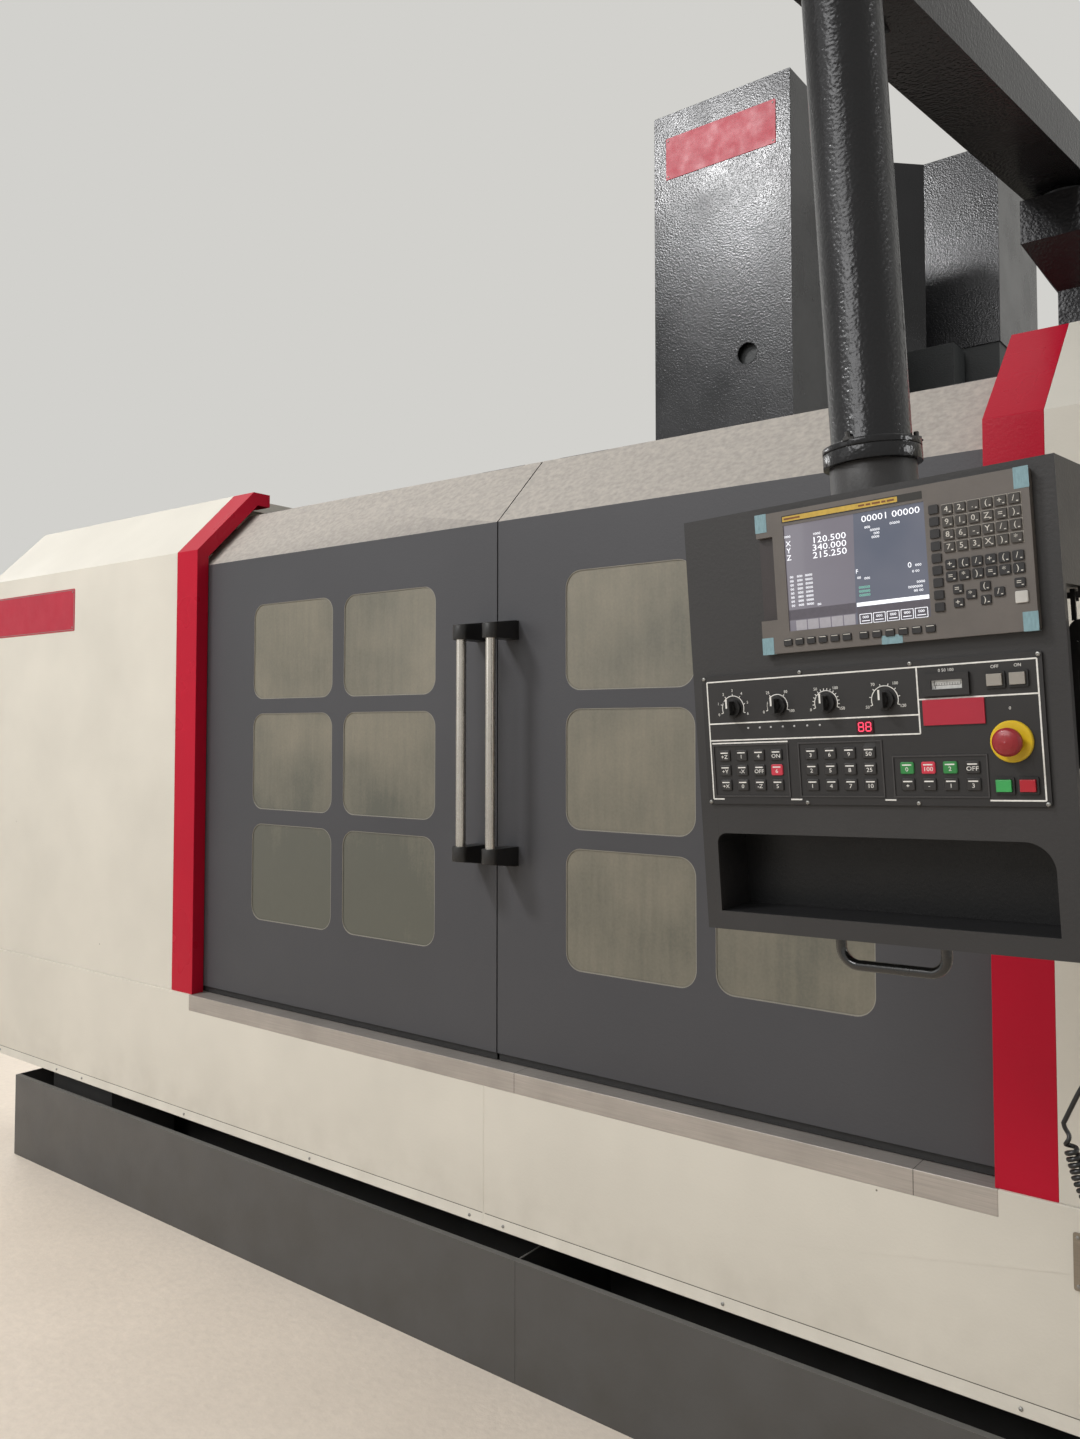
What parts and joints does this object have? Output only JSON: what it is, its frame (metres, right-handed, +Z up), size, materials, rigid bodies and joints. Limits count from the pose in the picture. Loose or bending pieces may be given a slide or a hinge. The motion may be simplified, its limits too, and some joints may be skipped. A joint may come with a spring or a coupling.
{
  "type": "cnc machining center",
  "caption": "Vertical machining center with a wide sliding-door enclosure, travelling column head, cross table, tool magazine and swinging control pendant.",
  "frame": {"origin": "on the floor, under the seam of the two doors, in the plane of the apron's face", "axes": "+X to the right along the front, +Y into the machine, +Z up"},
  "size_m": [5.306, 4.0208, 4.108],
  "materials": {
    "casting": "satin enamel",
    "machined_steel": "ground and machined",
    "motor_black": "matt black",
    "housing_white": "warm white textured enamel",
    "trim_red": "red enamel",
    "dark_paint": "dark grey speckled texture paint",
    "tank_paint": "dark grey paint, patchy",
    "stainless": "brushed",
    "pane": "clear sheet with protective film",
    "black_plastic": "matt",
    "unit_plastic": "fine satin",
    "screen_glass": "lit display",
    "button_red": "satin",
    "button_green": "satin",
    "button_light": "satin",
    "cord_rubber": "satin"
  },
  "bodies": {
    "machine": {"bed": "casting", "levelling_feet": "machined_steel", "column": "casting", "column_cover": "dark_paint", "y_motor": "motor_black", "z_motor": "motor_black", "magazine_frame": "casting", "arm_drive": "casting", "coolant_tank_left": "tank_paint", "coolant_tank_right": "tank_paint", "housing_left": "housing_white", "housing_right": "housing_white", "red_trims": "trim_red", "apron_left": "housing_white", "apron_right": "housing_white", "door_sill": "stainless", "top_rail": "machined_steel", "rear_wall": "housing_white", "electrical_cabinet": "housing_white", "arm_bracket": "dark_paint", "service_socket": "stainless"},
    "saddle": {"saddle": "casting", "x_motor": "motor_black"},
    "table": {"table": "machined_steel"},
    "head": {"spindle_head": "casting", "head_cover": "dark_paint", "spindle_motor": "motor_black"},
    "spindle": {"spindle": "machined_steel"},
    "x_screw": {"x_screw": "machined_steel"},
    "y_screw": {"y_screw": "machined_steel"},
    "z_screw": {"z_screw": "machined_steel"},
    "magazine": {"magazine_disc": "motor_black"},
    "change_arm": {"change_arm": "machined_steel"},
    "door_left": {"door_left": "dark_paint", "panes_left": "pane", "handle_tube_left": "stainless", "handle_caps_left": "black_plastic"},
    "door_right": {"door_right": "dark_paint", "panes_right": "pane", "handle_tube_right": "stainless", "handle_caps_right": "black_plastic"},
    "arm": {"pendant_arm": "dark_paint"},
    "pendant": {"pendant_box": "dark_paint", "display_unit": "unit_plastic", "display_screen": "screen_glass", "operator_panel": "black_plastic", "grab_handle": "black_plastic", "handwheel_case": "black_plastic", "cord_lead": "cord_rubber", "cord_curl": "cord_rubber"},
    "knob_mode": {"knob_mode": "black_plastic"},
    "knob_rapid": {"knob_rapid": "black_plastic"},
    "knob_feed": {"knob_feed": "black_plastic"},
    "knob_spindle": {"knob_spindle": "black_plastic"},
    "stop_button": {"stop_button": "button_red"},
    "start_button": {"start_button": "button_green"},
    "hold_button": {"hold_button": "button_red"},
    "power_off_button": {"power_off_button": "button_light"},
    "power_on_button": {"power_on_button": "button_light"},
    "handwheel_dial": {"handwheel_dial": "black_plastic"}
  },
  "joints": [
    {"name": "door_right_slide", "type": "slide", "parent": "machine", "child": "door_right", "axis": [1, 0, 0], "range_m": [0, 1.15]},
    {"name": "door_left_slide", "type": "slide", "parent": "machine", "child": "door_left", "axis": [-1, 0, 0], "range_m": [0, 1.15]},
    {"name": "saddle_y", "type": "slide", "parent": "machine", "child": "saddle", "axis": [0, 1, 0], "range_m": [-0.5, 0.5]},
    {"name": "table_x", "type": "slide", "parent": "saddle", "child": "table", "axis": [1, 0, 0], "range_m": [-1.1, 1.1]},
    {"name": "head_z", "type": "slide", "parent": "machine", "child": "head", "axis": [0, 0, 1], "range_m": [-1, 0]},
    {"name": "spindle_turn", "type": "hinge", "parent": "head", "child": "spindle", "pos_m": [0, 1.56, 2.27], "axis": [0, 0, 1], "continuous": true},
    {"name": "x_screw_turn", "type": "hinge", "parent": "saddle", "child": "x_screw", "pos_m": [0, 1.56, 0.8853], "axis": [1, 0, 0], "continuous": true},
    {"name": "y_screw_turn", "type": "hinge", "parent": "machine", "child": "y_screw", "pos_m": [0, 1.5, 0.67], "axis": [0, 1, 0], "continuous": true},
    {"name": "z_screw_turn", "type": "hinge", "parent": "machine", "child": "z_screw", "pos_m": [0, 2.715, 2.4], "axis": [0, 0, 1], "continuous": true},
    {"name": "magazine_turn", "type": "hinge", "parent": "machine", "child": "magazine", "pos_m": [-0.6, 1.56, 2.35], "axis": [1, 0, 0], "continuous": true},
    {"name": "change_arm_turn", "type": "hinge", "parent": "machine", "child": "change_arm", "pos_m": [-0.385, 1.56, 1.91], "axis": [0, 0, 1], "range_deg": [0, 180]},
    {"name": "arm_swing", "type": "hinge", "parent": "machine", "child": "arm", "pos_m": [1.356, 0.29, 2.72], "axis": [0, 0, 1], "range_deg": [-35, 35]},
    {"name": "pendant_swivel", "type": "hinge", "parent": "arm", "child": "pendant", "pos_m": [1.26704, -0.59997, 1.99431], "axis": [-0.0381, -0.0463, 0.9982], "range_deg": [-60, 60]},
    {"name": "knob_mode_turn", "type": "hinge", "parent": "pendant", "child": "knob_mode", "pos_m": [1.06689, -0.6651, 1.63601], "axis": [-0.0679, -0.9965, -0.0489], "range_deg": [-135, 135]},
    {"name": "knob_rapid_turn", "type": "hinge", "parent": "pendant", "child": "knob_rapid", "pos_m": [1.14315, -0.67043, 1.63868], "axis": [-0.0679, -0.9965, -0.0489], "range_deg": [-135, 135]},
    {"name": "knob_feed_turn", "type": "hinge", "parent": "pendant", "child": "knob_feed", "pos_m": [1.22191, -0.67594, 1.64143], "axis": [-0.0679, -0.9965, -0.0489], "range_deg": [-135, 135]},
    {"name": "knob_spindle_turn", "type": "hinge", "parent": "pendant", "child": "knob_spindle", "pos_m": [1.31064, -0.68214, 1.64454], "axis": [-0.0679, -0.9965, -0.0489], "range_deg": [-135, 135]},
    {"name": "stop_button_push", "type": "slide", "parent": "pendant", "child": "stop_button", "axis": [0.0679, 0.9965, 0.0489], "range_m": [0, 0.004], "stiffness_N_per_m": 400, "springref_m": -0.002},
    {"name": "start_button_push", "type": "slide", "parent": "pendant", "child": "start_button", "axis": [0.0679, 0.9965, 0.0489], "range_m": [0, 0.004], "stiffness_N_per_m": 400, "springref_m": -0.002},
    {"name": "hold_button_push", "type": "slide", "parent": "pendant", "child": "hold_button", "axis": [0.0679, 0.9965, 0.0489], "range_m": [0, 0.004], "stiffness_N_per_m": 400, "springref_m": -0.002},
    {"name": "power_off_button_push", "type": "slide", "parent": "pendant", "child": "power_off_button", "axis": [0.0679, 0.9965, 0.0489], "range_m": [0, 0.004], "stiffness_N_per_m": 400, "springref_m": -0.002},
    {"name": "power_on_button_push", "type": "slide", "parent": "pendant", "child": "power_on_button", "axis": [0.0679, 0.9965, 0.0489], "range_m": [0, 0.004], "stiffness_N_per_m": 400, "springref_m": -0.002},
    {"name": "handwheel_turn", "type": "hinge", "parent": "pendant", "child": "handwheel_dial", "pos_m": [1.5839, -0.61409, 1.59602], "axis": [-0.0679, -0.9965, -0.0489], "continuous": true}
  ],
  "couplings": [
    {"joint": "x_screw_turn", "follows": "table_x", "rad_per_m": -392.7},
    {"joint": "y_screw_turn", "follows": "saddle_y", "rad_per_m": -392.7},
    {"joint": "z_screw_turn", "follows": "head_z", "rad_per_m": -392.7}
  ]
}
